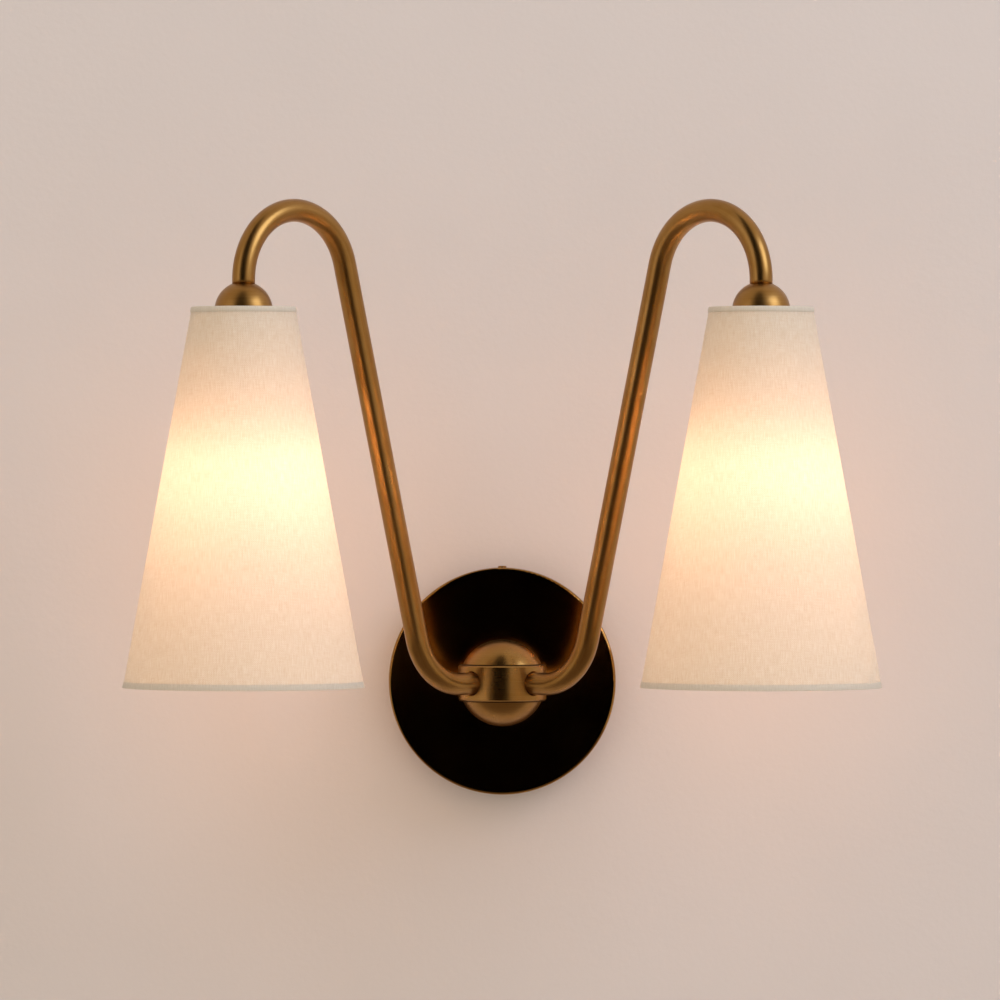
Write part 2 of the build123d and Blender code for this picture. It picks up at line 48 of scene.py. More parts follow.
arm_r, arm_wall = 6.35, 1.2
arm_turn = radians(45)          # between each arm and the wall, seen from above
arm_start = 17.5                # the tube's inner end, from the hub's axis
arm_stub = 9.0                  # level tube between the hub and the low bend
arm_low_r, arm_top_r = 35.0, 39.0
arm_reach, arm_rise = 200.5, 264.0
arm_drop = 2.3                  # straight tube below the top bend
lamp_x = arm_reach * cos(arm_turn)
lamp_y = hub_y - arm_reach * sin(arm_turn)

# The shade's outside, over its edging. Both heights are 0.014 mm below the model's, well inside its gaps.
shade_top_z, shade_bottom_z = 209.986, 1.486
shade_top_r, shade_slope = 28.75, 0.18106
half_angle = atan(shade_slope)
linen_inset, linen_t = 0.45, 0.8
hem_t, hem_w = 0.4, 4.25        # folded linen, and the edging's width over cloth, liner and wire
hems = (                        # name, edge, way inwards, how far it reaches outside and inside
    ("top", shade_top_z, -1, 3.1, 1.7),
    ("bottom", shade_bottom_z, 1, 3.4, 3.0),
)

# Lampholder, from the cup down.
crown_z = 221.1                 # underside of the cup's flat
nipple_bore_r, contact_hole_r, shell_bore_r = 5.05, 2.05, 6.55
holder_neck_r, holder_neck_h = 6.9, 7.6
holder_body_r, holder_body_h = 13.0, 23.5
holder_flange_r, holder_flange_h = 17.0, 2.0
holder_skirt_r, holder_skirt_h = 13.35, 28.0    # radius at the root of its thread
holder_mouth_r, holder_mouth_h = 10.5, 8.0
holder_roof_t, holder_chamber_r, holder_chamber_h, holder_partition_h = 1.6, 9.0, 12.0, 6.0
skirt_z = crown_z - holder_neck_h - holder_body_h - holder_flange_h - holder_skirt_h

# Bulb, with its base upwards.
base_rim_z, base_h = 170.7, 16.0
base_core_r, base_rim_r, base_bore_r = 5.5, 5.95, 5.62
bulb_neck_h = 2.5               # glass inside the base
base_thread_rise, skirt_thread_rise = 3.4, 2.0  # from the lower rim to where each thread starts
bulb_knots = (                  # radius, distance below the base's rim, and the way the outline goes on
    (5.6, 0.0, (0.0, -5.0)),
    (9.3, 13.5, (2.6, -5.6)),
    (17.5, 39.5, (0.0, -9.5)),
    (11.5, 66.5, (-5.0, -8.0)),
    (0.0, 80.5, (-4.6, 0.0)),
)


# ---- Small tools ------------------------------------------------------------------------
def tone(code):
    """An sRGB hex colour as linear red, green, blue and alpha."""
    parts = [int(code[i:i + 2], 16) / 255 for i in (1, 3, 5)]
    return (*[p / 12.92 if p <= 0.04045 else ((p + 0.055) / 1.055) ** 2.4 for p in parts], 1.0)


def add(tree, kind, inputs=None, **settings):
    """Add a node with its settings; an input is a value or the socket that feeds it."""
    node = tree.nodes.new(kind)
    for name, value in settings.items():
        setattr(node, name, value)
    for socket, value in (inputs or {}).items():
        if isinstance(value, bpy.types.NodeSocket):
            tree.links.new(value, node.inputs[socket])
        else:
            node.inputs[socket].default_value = value
    return node


def blank_material(name):
    """An empty material, and the node tree to fill."""
    material = bpy.data.materials.new(name)
    material.use_nodes = True
    material.node_tree.nodes.clear()
    return material, material.node_tree


def new_object(name, data):
    """An object in the scene, at the origin."""
    made = bpy.data.objects.new(name, data)
    bpy.context.scene.collection.objects.link(made)
    return made


def piece(name, vertices, faces, material, uv_name=None, uvs=None):
    """A smooth mesh object at the origin, its vertices given in millimetres."""
    mesh = bpy.data.meshes.new(name)
    mesh.from_pydata([Vector(v) * MM for v in vertices], [], faces)
    if uv_name:
        layer = mesh.uv_layers.new(name=uv_name)
        for polygon, face_uvs in zip(mesh.polygons, uvs):
            for loop, uv in zip(polygon.loop_indices, face_uvs):
                layer.data[loop].uv = uv
    mesh.polygons.foreach_set("use_smooth", [True] * len(mesh.polygons))
    mesh.materials.append(material)
    return new_object(name, mesh)


def face_outwards(made, sharp):
    """Point the faces of a closed mesh outwards, and keep edges crisp past an angle in degrees."""
    shaped = bmesh.new()
    shaped.from_mesh(made.data)
    bmesh.ops.recalc_face_normals(shaped, faces=shaped.faces)
    shaped.to_mesh(made.data)
    shaped.free()
    made.data.set_sharp_from_angle(angle=radians(sharp))
    return made


def turned(name, profile, x, y, material, steps=96, closed=False):
    """Turn a profile of (radius, height) points about the upright axis through (x, y).
    An open profile starts and ends on the axis; a closed one is a ring."""
    circle = [(cos(2 * pi * s / steps), sin(2 * pi * s / steps)) for s in range(steps)]
    vertices, rows = [], []
    for r, z in profile:
        if r < 1e-6:
            rows.append([len(vertices)] * steps)
            vertices.append((x, y, z))
        else:
            rows.append(list(range(len(vertices), len(vertices) + steps)))
            vertices += [(x + r * across, y + r * along, z) for across, along in circle]
    pairs = list(zip(rows, rows[1:])) + ([(rows[-1], rows[0])] if closed else [])
    faces = []
    for low, high in pairs:
        for s in range(steps):
            ring = [low[s], low[(s + 1) % steps], high[(s + 1) % steps], high[s]]
            corners = [v for k, v in enumerate(ring) if v != ring[k - 1]]
            if len(corners) > 2:
                faces.append(corners)
    return face_outwards(piece(name, vertices, faces, material), sharp=35)


def arc(centre, radius, start, end, count):
    """Points on an arc, angles in degrees."""
    turns = [radians(start + (end - start) * k / count) for k in range(count + 1)]
    return [(centre[0] + radius * cos(t), centre[1] + radius * sin(t)) for t in turns]


def plain_mesh(made):
    """An object's shape as its modifiers leave it."""
    bpy.context.view_layer.update()
    return bpy.data.meshes.new_from_object(made.evaluated_get(bpy.context.evaluated_depsgraph_get()))


def grown(name, tree, values, start=None):
    """Run a Geometry Nodes tree with its named inputs and keep the result as a plain mesh."""
    seed = start or new_object(name + "_seed", bpy.data.meshes.new(name + "_seed"))
    modifier = seed.modifiers.new("nodes", "NODES")
    modifier.node_group = tree
    sockets = {item.name: item.identifier for item in tree.interface.items_tree if item.in_out == "INPUT"}
    for key, value in values.items():
        modifier[sockets[key]] = value
    mesh = plain_mesh(seed)
    mesh.name = name
    bpy.data.objects.remove(seed)
    return new_object(name, mesh)


def geometry_tree(name, inputs):
    """An empty Geometry Nodes tree with named inputs; returns it with its input and output nodes."""
    tree = bpy.data.node_groups.new(name, "GeometryNodeTree")
    tree.interface.new_socket("Geometry", in_out="INPUT", socket_type="NodeSocketGeometry")
    for key, kind in inputs.items():
        tree.interface.new_socket(key, in_out="INPUT", socket_type=kind)
    tree.interface.new_socket("Geometry", in_out="OUTPUT", socket_type="NodeSocketGeometry")
    return tree, add(tree, "NodeGroupInput"), add(tree, "NodeGroupOutput")


def seat(made, body, slot, *replaced):
    """Fix a finished piece to its body and hide the CAD nodes that it stands for.
    The slot is not used.
    """
    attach(made, body)
    if replaced:
        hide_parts(*replaced)


def dress(finish, *names):
    """Give a finish to CAD nodes that are shown as they are."""
    for name in names:
        nodes[name].data.materials[0] = finish


# ---- Metals -----------------------------------------------------------------------------
# A brushing mark is about 0.1 mm wide; it is drawn 0.35 mm wide so that it shows.
marks_per_mm = 2.9


def satin_brass(name, dullness, shift=None, facing="Z", lay="turned", seam=None):
    """Antique brass, brushed to a satin and left to tone down: a brown gold with soft, wide
    highlights, fine marks along the brushing and slightly darker, duller clouds. The shift, in
    metres, brings a turned piece's axis to the origin. A seam is a joint, its height in
    millimetres above and below the middle, painted dark there: painted shade of the gap, with some tarnish."""
    material, tree = blank_material(name)
    place = add(tree, "ShaderNodeTexCoord").outputs["Object"]
    if lay == "turned":
        # Brushed on a lathe, so the marks run round the piece's own axis.
        turn = (radians(90), 0, 0) if facing == "Y" else (0, 0, 0)
        centred = add(tree, "ShaderNodeMapping", {"Vector": place, "Location": shift, "Rotation": turn})
        xyz = add(tree, "ShaderNodeSeparateXYZ", {0: centred.outputs[0]})
        angle = add(tree, "ShaderNodeMath", {0: xyz.outputs[1], 1: xyz.outputs[0]}, operation="ARCTAN2")
        round_it = add(tree, "ShaderNodeMath", {0: angle.outputs[0], 1: 0.5}, operation="MULTIPLY")
        across = add(tree, "ShaderNodeCombineXYZ", {0: xyz.outputs[0], 1: xyz.outputs[1]})
        radius = add(tree, "ShaderNodeVectorMath", {0: across.outputs[0]}, operation="LENGTH")
        out = add(tree, "ShaderNodeMath", {0: radius.outputs["Value"], 1: marks_per_mm / MM},
                  operation="MULTIPLY")
        up = add(tree, "ShaderNodeMath", {0: xyz.outputs[2], 1: marks_per_mm / MM}, operation="MULTIPLY")
        marks_at = add(tree, "ShaderNodeCombineXYZ",
                       {0: round_it.outputs[0], 1: out.outputs[0], 2: up.outputs[0]}).outputs[0]
    else:
        # Drawn tube brushed lengthways: its map holds millimetres along and round the tube.
        mapped = add(tree, "ShaderNodeUVMap", uv_map="lay")
        marks_at = add(tree, "ShaderNodeMapping",
                       {"Vector": mapped.outputs[0], "Scale": (0.03, marks_per_mm, 1.0)}).outputs[0]
    marks = add(tree, "ShaderNodeTexNoise",
                {"Vector": marks_at, "Scale": 1.0, "Detail": 3.0, "Roughness": 0.6}).outputs["Fac"]
    # Clouds of tarnish, about 22 mm wide.
    clouds = add(tree, "ShaderNodeTexNoise",
                 {"Vector": place, "Scale": 1 / (22.2 * MM), "Detail": 4.0, "Roughness": 0.55}).outputs["Fac"]
    tarnish = add(tree, "ShaderNodeValToRGB", {"Fac": clouds})
    for stop, position, code in zip(tarnish.color_ramp.elements, (0.3, 0.72), ("#956A31", "#A87E46")):
        stop.position, stop.color = position, tone(code)
    bright = add(tree, "ShaderNodeMapRange", {"Value": marks, "From Min": 0.35, "From Max": 0.75,
                                              "To Min": 0.0, "To Max": 0.35})
    colour = add(tree, "ShaderNodeMix",
                 {"Factor": bright.outputs[0], 6: tarnish.outputs["Color"], 7: tone("#BC955A")},
                 data_type="RGBA").outputs[2]
    dull = add(tree, "ShaderNodeMapRange", {"Value": clouds, "From Min": 0.3, "From Max": 0.7,
                                            "To Min": dullness + 0.03, "To Max": dullness - 0.03})
    roughness = add(tree, "ShaderNodeMath", {0: marks, 1: 0.03, 2: dull.outputs[0]},
                    operation="MULTIPLY_ADD").outputs[0]
    grooves = add(tree, "ShaderNodeBump", {"Height": marks, "Strength": 0.06, "Distance": 0.03 * MM})
    if seam:
        # Where a cap meets the band, a line 1 mm wide is painted dark and dull: painted shade of the gap
        # between cap and band, with some tarnish in the joint.
        depth = add(tree, "ShaderNodeMath", {0: xyz.outputs[2]}, operation="ABSOLUTE")
        off = add(tree, "ShaderNodeMath", {0: depth.outputs[0], 1: seam * MM}, operation="SUBTRACT")
        away = add(tree, "ShaderNodeMath", {0: off.outputs[0]}, operation="ABSOLUTE")
        dark = add(tree, "ShaderNodeMapRange",
                   {"Value": away.outputs[0], "From Min": 0.1 * MM, "From Max": 0.6 * MM,
                    "To Min": 0.85, "To Max": 0.0}, interpolation_type="SMOOTHSTEP").outputs[0]
        # Dark brown of the painted shade in the joint.
        colour = add(tree, "ShaderNodeMix", {"Factor": dark, 6: colour, 7: tone("#2E1C0C")},
                     data_type="RGBA").outputs[2]
        roughness = add(tree, "ShaderNodeMath", {0: dark, 1: 0.25, 2: roughness},
                        operation="MULTIPLY_ADD").outputs[0]
    metal = add(tree, "ShaderNodeBsdfPrincipled",
                {"Base Color": colour, "Metallic": 1.0, "Roughness": roughness, "Normal": grooves.outputs[0]})
    add(tree, "ShaderNodeOutputMaterial", {"Surface": metal.outputs[0]})
    return material


hub_brass = satin_brass("satin_brass_hub", dullness=0.28, shift=(0.0, -hub_y * MM, 0.0),
                        seam=hub_band_h / 2)
canopy_brass = satin_brass("satin_brass_canopy", dullness=0.12, shift=(0.0, 0.0, 0.0), facing="Y")
tube_brass = satin_brass("satin_brass_tube", dullness=0.29, lay="drawn")
cup_brass = {
    side: satin_brass(f"satin_brass_cup_{side}", dullness=0.33,
                      shift=(-sign * lamp_x * MM, -lamp_y * MM, 0.0))
    for side, sign in sides}


def plated_metal(name, light, dark, roughness, grain):
    """Plated sheet or wire: an even, softly shining skin whose grain, with a size in millimetres,
    varies a little in tone."""
    material, tree = blank_material(name)
    place = add(tree, "ShaderNodeTexCoord").outputs["Object"]
    spangle = add(tree, "ShaderNodeTexVoronoi",
                  {"Vector": place, "Scale": 1 / (grain * MM), "Randomness": 1.0})
    haze = add(tree, "ShaderNodeTexNoise", {"Vector": place, "Scale": 1 / (8.33 * MM), "Detail": 3.0})
    patch = add(tree, "ShaderNodeSeparateColor", {0: spangle.outputs["Color"]})
    blend = add(tree, "ShaderNodeMath", {0: patch.outputs[0], 1: haze.outputs["Fac"]}, operation="MULTIPLY")
    colour = add(tree, "ShaderNodeMix", {"Factor": blend.outputs[0], 6: tone(light), 7: tone(dark)},
                 data_type="RGBA")
    rough = add(tree, "ShaderNodeMapRange", {"Value": haze.outputs["Fac"], "From Min": 0.3, "From Max": 0.7,
                                             "To Min": roughness - 0.05, "To Max": roughness + 0.07})
    metal = add(tree, "ShaderNodeBsdfPrincipled",
                {"Base Color": colour.outputs[2], "Metallic": 1.0, "Roughness": rough.outputs[0]})
    add(tree, "ShaderNodeOutputMaterial", {"Surface": metal.outputs[0]})
    return material


# Strap, washer, nut and nipples: dull silver with a faint spangle. Screw shell, centre contact and
# bulb base: warm, bright silver. Ground screw: green all over.
zinc_plate = plated_metal("zinc_plated_steel", "#C9CCCB", "#9FA3A0", roughness=0.32, grain=1.5)
nickel_plate = plated_metal("nickel_plated_brass", "#D9D4CA", "#B4AEA2", roughness=0.2, grain=0.8)
green_dye = plated_metal("dyed_green_screw", "#3F8A56", "#24603A", roughness=0.35, grain=0.7)


# ---- Mouldings and coatings -------------------------------------------------------------
def moulded(name, colour, mottle_colour, roughness, mottle_size):
    """A moulded or sprayed skin of plastic or black glass: an even colour with a faint flow mottle,
    its size in millimetres, and a surface that isn't quite flat."""
    material, tree = blank_material(name)
    place = add(tree, "ShaderNodeTexCoord").outputs["Object"]
    mottle = add(tree, "ShaderNodeTexNoise",
                 {"Vector": place, "Scale": 1 / (mottle_size * MM), "Detail": 5.0,
                  "Distortion": 0.6}).outputs["Fac"]
    mixed = add(tree, "ShaderNodeMix", {"Factor": mottle, 6: tone(colour), 7: tone(mottle_colour)},
                data_type="RGBA")
    rough = add(tree, "ShaderNodeMapRange", {"Value": mottle, "From Min": 0.3, "From Max": 0.7,
                                             "To Min": roughness - 0.06, "To Max": roughness + 0.08})
    skin = add(tree, "ShaderNodeTexNoise", {"Vector": place, "Scale": 1 / (0.833 * MM), "Detail": 2.0})
    peel = add(tree, "ShaderNodeBump",
               {"Height": skin.outputs["Fac"], "Strength": 0.15, "Distance": 0.05 * MM})
    plastic = add(tree, "ShaderNodeBsdfPrincipled",
                  {"Base Color": mixed.outputs[2], "Roughness": rough.outputs[0], "IOR": 1.5,
                   "Normal": peel.outputs[0]})
    add(tree, "ShaderNodeOutputMaterial", {"Surface": plastic.outputs[0]})
    return material


# Lampholder and shade ring: ivory. Shade wires: matt white. Leads: slightly chalky white.
# Wire connectors: orange. Insulator of the bulb's base: black and glossy.
phenolic = moulded("ivory_phenolic", "#E9E2D2", "#DDD4C0", roughness=0.34, mottle_size=6.0)
white_coat = moulded("white_powder_coat", "#EFEDE8", "#E4E1DA", roughness=0.45, mottle_size=3.0)
lead_cover = moulded("lead_insulation_pvc", "#E8E6DF", "#DAD7CE", roughness=0.42, mottle_size=4.0)
orange_cap = moulded("connector_polypropylene", "#D9742B", "#C4611E", roughness=0.4, mottle_size=3.0)
black_glass = moulded("black_vitrite", "#1C1B1F", "#2A282C", roughness=0.15, mottle_size=2.0)


# ---- Cloth, liner and glass -------------------------------------------------------------
def linen(name, light, dark, through, clearness, pitch):
    """Plain woven linen. Uneven slub yarn gives fine upright and level streaks, which show most
    where the lamp shines through; the surface itself is quite matt. The yarns lie a pitch apart,
    in millimetres, and a slub is some 14 yarns long. The two colours of through are the glow of
    the gaps and of the yarns, and clearness is the share of light that goes through."""
    material, tree = blank_material(name)
    cloth = add(tree, "ShaderNodeUVMap", uv_map="cloth").outputs[0]
    # The yarns wander by a millimetre or so over 20 mm.
    sway = add(tree, "ShaderNodeTexNoise", {"Vector": cloth, "Scale": 1 / 20.0, "Detail": 2.0},
               noise_dimensions="2D")
    swayed = add(tree, "ShaderNodeVectorMath", {0: sway.outputs["Color"], 1: (1.6, 1.6, 0.0), 2: cloth},
                 operation="MULTIPLY_ADD").outputs[0]
    fine, slub = 1 / pitch, 0.07 / pitch
    upright, level = [
        add(tree, "ShaderNodeTexNoise",
            {"Vector": add(tree, "ShaderNodeMapping", {"Vector": swayed, "Scale": stretch}).outputs[0],
             "Scale": 1.0, "Detail": 2.0, "Roughness": 0.7}, noise_dimensions="2D").outputs["Fac"]
        for stretch in ((fine, slub, 1), (slub, fine, 1))]
    # The over and under of the weave, two yarns to a repeat.
    waves_at = add(tree, "ShaderNodeVectorMath", {0: swayed, 1: (pi / pitch, pi / pitch, 0.0)},
                   operation="MULTIPLY")
    waves = add(tree, "ShaderNodeVectorMath", {0: waves_at.outputs[0]}, operation="SINE")
    wave = add(tree, "ShaderNodeSeparateXYZ", {0: waves.outputs[0]})
    over = add(tree, "ShaderNodeMath", {0: wave.outputs[0], 1: wave.outputs[1]}, operation="MULTIPLY")
    yarns = add(tree, "ShaderNodeMath", {0: level, 1: 0.55, 2: upright}, operation="MULTIPLY_ADD")
    height = add(tree, "ShaderNodeMath", {0: over.outputs[0], 1: 0.22, 2: yarns.outputs[0]},
                 operation="MULTIPLY_ADD").outputs[0]
    raised = add(tree, "ShaderNodeMapRange", {"Value": height, "From Min": 0.4, "From Max": 1.15,
                                              "To Min": 0.0, "To Max": 1.0}).outputs[0]
    face, glow = [
        add(tree, "ShaderNodeMix", {"Factor": raised, 6: tone(gap), 7: tone(yarn)},
            data_type="RGBA").outputs[2]
        for gap, yarn in ((dark, light), through)]
    relief = add(tree, "ShaderNodeBump", {"Height": height, "Strength": 0.35, "Distance": 0.15 * MM})
    front = add(tree, "ShaderNodeBsdfPrincipled",
                {"Base Color": face, "Roughness": 0.9, "Sheen Weight": 0.15, "Sheen Roughness": 0.5,
                 "Specular IOR Level": 0.25, "Normal": relief.outputs[0]})
    behind = add(tree, "ShaderNodeBsdfTranslucent", {"Color": glow, "Normal": relief.outputs[0]})
    both = add(tree, "ShaderNodeMixShader", {0: clearness, 1: front.outputs[0], 2: behind.outputs[0]})
    add(tree, "ShaderNodeOutputMaterial", {"Surface": both.outputs[0]})
    return material


shade_linen = linen("woven_linen", "#FBF4E9", "#E8DDCD", ("#EBD7B8", "#FFF7E8"), clearness=0.5, pitch=0.5)
edging_linen = linen("linen_edging", "#ECE6DA", "#D6CEBF", ("#E6D8BF", "#F8ECD8"), clearness=0.34, pitch=0.5)


def liner(name, clearness):
    """Styrene liner behind the linen: smooth, white and a little glossy, glowing evenly."""
    material, tree = blank_material(name)
    place = add(tree, "ShaderNodeTexCoord").outputs["Object"]
    haze = add(tree, "ShaderNodeTexNoise", {"Vector": place, "Scale": 1 / (16.7 * MM), "Detail": 2.0})
    white = add(tree, "ShaderNodeMix",
                {"Factor": haze.outputs["Fac"], 6: tone("#F6F2EA"), 7: tone("#EFEAE0")}, data_type="RGBA")
    front = add(tree, "ShaderNodeBsdfPrincipled",
                {"Base Color": white.outputs[2], "Roughness": 0.45, "IOR": 1.59})
    behind = add(tree, "ShaderNodeBsdfTranslucent", {"Color": tone("#FFF6E8")})
    both = add(tree, "ShaderNodeMixShader", {0: clearness, 1: front.outputs[0], 2: behind.outputs[0]})
    add(tree, "ShaderNodeOutputMaterial", {"Surface": both.outputs[0]})
    return material


def opal_bulb(name, least, body_glow, tip_glow):
    """Opal glass of a lit lamp: milky white, glossy, glowing warm, most from its lower half and its
    tip. Going down, the glow grows from 138 to 112 mm above the hub's middle, and again from 96 mm
    to the tip."""
    material, tree = blank_material(name)
    place = add(tree, "ShaderNodeTexCoord").outputs["Object"]
    height = add(tree, "ShaderNodeSeparateXYZ", {0: place}).outputs[2]
    body = add(tree, "ShaderNodeMapRange", {"Value": height, "From Min": 138 * MM, "From Max": 112 * MM,
                                            "To Min": least, "To Max": body_glow})
    tip = add(tree, "ShaderNodeMapRange", {"Value": height, "From Min": 96 * MM, "From Max": 86 * MM,
                                           "To Min": 0.0, "To Max": tip_glow})
    strength = add(tree, "ShaderNodeMath", {0: body.outputs[0], 1: tip.outputs[0]}, operation="ADD")
    glass = add(tree, "ShaderNodeBsdfPrincipled",
                {"Base Color": tone("#F7F0E2"), "Roughness": 0.12, "IOR": 1.5,
                 "Emission Color": tone("#FFD9CA"), "Emission Strength": strength.outputs[0]})
    add(tree, "ShaderNodeOutputMaterial", {"Surface": glass.outputs[0]})
    return material


styrene = liner("styrene_liner", clearness=0.34)
opal_glass = opal_bulb("opal_glass_lit", least=1.5, body_glow=28.0, tip_glow=68.0)


# ---- Arms: bent tube, grown along its centre line ---------------------------------------
def arm_line(sign):
    """Centre line of an arm: stub, low bend, long straight, top bend and drop."""
    low, top = (hub_r + arm_stub, arm_low_r), (arm_reach - arm_top_r, arm_rise - arm_top_r)
    dx, dz, both = top[0] - low[0], top[1] - low[1], arm_low_r + arm_top_r
    lean = degrees(atan2(dx, dz) - atan2(both, sqrt(dx**2 + dz**2 - both**2)))
    stub_steps, low_steps, run_steps, top_steps = 4, 48, 24, 96
    level = [(arm_start + (low[0] - arm_start) * k / stub_steps, 0.0) for k in range(stub_steps)]
    low_bend = arc(low, arm_low_r, -90, -lean, low_steps)
    top_bend = arc(top, arm_top_r, 180 - lean, 0, top_steps)
    a, b = low_bend[-1], top_bend[0]
    straight = [(a[0] + (b[0] - a[0]) * k / run_steps, a[1] + (b[1] - a[1]) * k / run_steps)
                for k in range(1, run_steps)]
    points = level + low_bend + straight + top_bend + [(arm_reach, top[1] - arm_drop)]
    along = (sign * cos(arm_turn), -sin(arm_turn))
    return [(s * along[0], hub_y + s * along[1], z) for s, z in points]


def tube_tree():
    """Sweeps a round tube along a curve and maps it in millimetres, lengthways and round it."""
    tree, source, sink = geometry_tree("bent_tube", {
        "Tube Radius": "NodeSocketFloat", "Ring Points": "NodeSocketInt", "Finish": "NodeSocketMaterial"})
    length = add(tree, "GeometryNodeSplineParameter")
    path = add(tree, "GeometryNodeCaptureAttribute", {"Geometry": source.outputs["Geometry"]}, domain="POINT")
    path.capture_items.new("FLOAT", "Along")
    tree.links.new(length.outputs["Length"], path.inputs[1])
    # An open ring of points, so that the map has a clean seam; the doubles are merged afterwards.
    ring = add(tree, "GeometryNodeCurveArc",
               {"Resolution": source.outputs["Ring Points"], "Radius": source.outputs["Tube Radius"],
                "Start Angle": 0.0, "Sweep Angle": 2 * pi})
    turn = add(tree, "GeometryNodeSplineParameter")
    profile = add(tree, "GeometryNodeCaptureAttribute", {"Geometry": ring.outputs["Curve"]}, domain="POINT")
    profile.capture_items.new("FLOAT", "Round")
    tree.links.new(turn.outputs["Length"], profile.inputs[1])
    tube = add(tree, "GeometryNodeCurveToMesh",
               {"Curve": path.outputs[0], "Profile Curve": profile.outputs[0]})
    both = add(tree, "ShaderNodeCombineXYZ", {0: path.outputs[1], 1: profile.outputs[1]})
    in_mm = add(tree, "ShaderNodeVectorMath", {0: both.outputs[0], "Scale": 1 / MM}, operation="SCALE")
    mapped = add(tree, "GeometryNodeStoreNamedAttribute",
                 {"Geometry": tube.outputs[0], "Name": "lay", "Value": in_mm.outputs[0]},
                 data_type="FLOAT2", domain="CORNER")
    merged = add(tree, "GeometryNodeMergeByDistance", {"Geometry": mapped.outputs[0], "Distance": 0.01 * MM})
    smooth = add(tree, "GeometryNodeSetShadeSmooth", {"Geometry": merged.outputs[0]})
    real = add(tree, "GeometryNodeRealizeInstances", {"Geometry": smooth.outputs[0]})
    finish = add(tree, "GeometryNodeSetMaterial",
                 {"Geometry": real.outputs[0], "Material": source.outputs["Finish"]})
    tree.links.new(finish.outputs[0], sink.inputs[0])
    return tree


bent_tube = tube_tree()
for side, sign in sides:
    line = bpy.data.curves.new(f"arm_line_{side}", "CURVE")
    line.dimensions = "3D"
    spline = line.splines.new("POLY")
    route = arm_line(sign)
    spline.points.add(len(route) - 1)
    for point, where in zip(spline.points, route):
        point.co = (*(Vector(where) * MM), 1.0)
    sizes = {"Tube Radius": arm_r * MM, "Ring Points": 65, "Finish": tube_brass}
    arm = grown(f"arm_tube_{side}", bent_tube, sizes, new_object(f"arm_line_{side}", line))
    # The sweep is the tube's outside; its wall goes inwards.
    hollow_out = arm.modifiers.new("wall", "SOLIDIFY")
    hollow_out.thickness, hollow_out.offset = arm_wall * MM, -1.0
    tube_mesh = plain_mesh(arm)
    arm.modifiers.clear()
    arm.data = tube_mesh
    seat(arm, "fixture", "satin_brass", f"arm_{side}")


# ---- Shades -----------------------------------------------------------------------------
# The material of a band of faces: linen outside and on the cut rims, liner inside.
LINEN, LINER = 0, 1


def edge_r(z):
    """Outside radius of the shade's edging at a height."""
    return shade_top_r + (shade_top_z - z) * shade_slope


def cloth_point(turn, r):
    """Where a point of the cone lies on the flat cut of the cloth, in millimetres.
    The cut is a piece of a ring, its middle facing the room and its ends at the wall."""
    reach, spread = r / sin(half_angle), turn * sin(half_angle)
    middle_x = 500.0    # clear of the pattern's own zero
    return (reach * sin(spread) + middle_x, reach * cos(spread))


def shade_shell(name, sign, rows, materials, steps=192):
    """A ring-shaped wall: rows of (radius, height, material index of the faces that follow)."""
    x, y = sign * lamp_x, lamp_y
    turns = [2 * pi * s / steps - pi for s in range(steps + 1)]
    vertices = [(x + r * sin(t), y - r * cos(t), z) for r, z, _ in rows for t in turns[:-1]]
    faces, uvs, indices = [], [], []
    count = len(rows)
    for row in range(count):
        after = (row + 1) % count
        for s in range(steps):
            t = (s + 1) % steps
            faces.append((row * steps + s, row * steps + t, after * steps + t, after * steps + s))
            uvs.append([cloth_point(turns[s], rows[row][0]), cloth_point(turns[s + 1], rows[row][0]),
                        cloth_point(turns[s + 1], rows[after][0]), cloth_point(turns[s], rows[after][0])])
            indices.append(rows[row][2])
    made = piece(name, vertices, faces, materials[0], "cloth", uvs)
    for extra in materials[1:]:
        made.data.materials.append(extra)
    made.data.polygons.foreach_set("material_index", indices)
    return face_outwards(made, sharp=40)


def shade_rows(bands=24):
    """The cone's wall: up the outside and down the inside."""
    top, bottom = shade_top_z - linen_inset, shade_bottom_z + linen_inset
    heights = [bottom + (top - bottom) * k / bands for k in range(bands + 1)]
    outside = [(edge_r(z) - linen_inset, z, LINEN) for z in heights]
    inside = [(edge_r(z) - linen_inset - linen_t, z, LINER) for z in reversed(heights)]
    inside[-1] = (*inside[-1][:2], LINEN)
    return outside + inside


def edging_rows(edge_z, inward, outer_h, inner_h):
    """Linen strip folded over the shade's edge, its fold rounded and its outer lip pressed down."""
    outer_z, inner_z, fold_z = edge_z + inward * outer_h, edge_z + inward * inner_h, edge_z + inward * hem_t
    roll = hem_t * 0.7
    roll_z = edge_z + inward * roll
    corner = roll * 0.3
    lip_h, lip_drop = 1.0, 0.3
    outline = [
        (edge_r(edge_z) - roll, edge_z), (edge_r(edge_z) - corner, edge_z + inward * corner),
        (edge_r(roll_z), roll_z), (edge_r(outer_z), outer_z - inward * lip_h),
        (edge_r(outer_z) - hem_t / 2, outer_z - inward * lip_drop), (edge_r(outer_z) - hem_t, outer_z),
        (edge_r(fold_z) - hem_t, fold_z), (edge_r(fold_z) - hem_w + hem_t, fold_z),
        (edge_r(inner_z) - hem_w + hem_t, inner_z), (edge_r(inner_z) - hem_w, inner_z),
        (edge_r(roll_z) - hem_w, roll_z), (edge_r(edge_z) - hem_w + roll, edge_z),
    ]
    return [(r, z, LINEN) for r, z in outline]


for side, sign in sides:
    body = f"shade_assembly_{side}"
    cone = shade_shell(f"shade_linen_{side}", sign, shade_rows(), [shade_linen, styrene])
    seat(cone, body, "linen", f"shade_{side}")
    for where, *edge in hems:
        hem = shade_shell(f"shade_edging_{where}_{side}", sign, edging_rows(*edge), [edging_linen])
        seat(hem, body, "linen_edging", f"shade_hem_{where}_{side}")
    dress(white_coat, f"shade_frame_{side}", f"shade_bottom_wire_{side}")


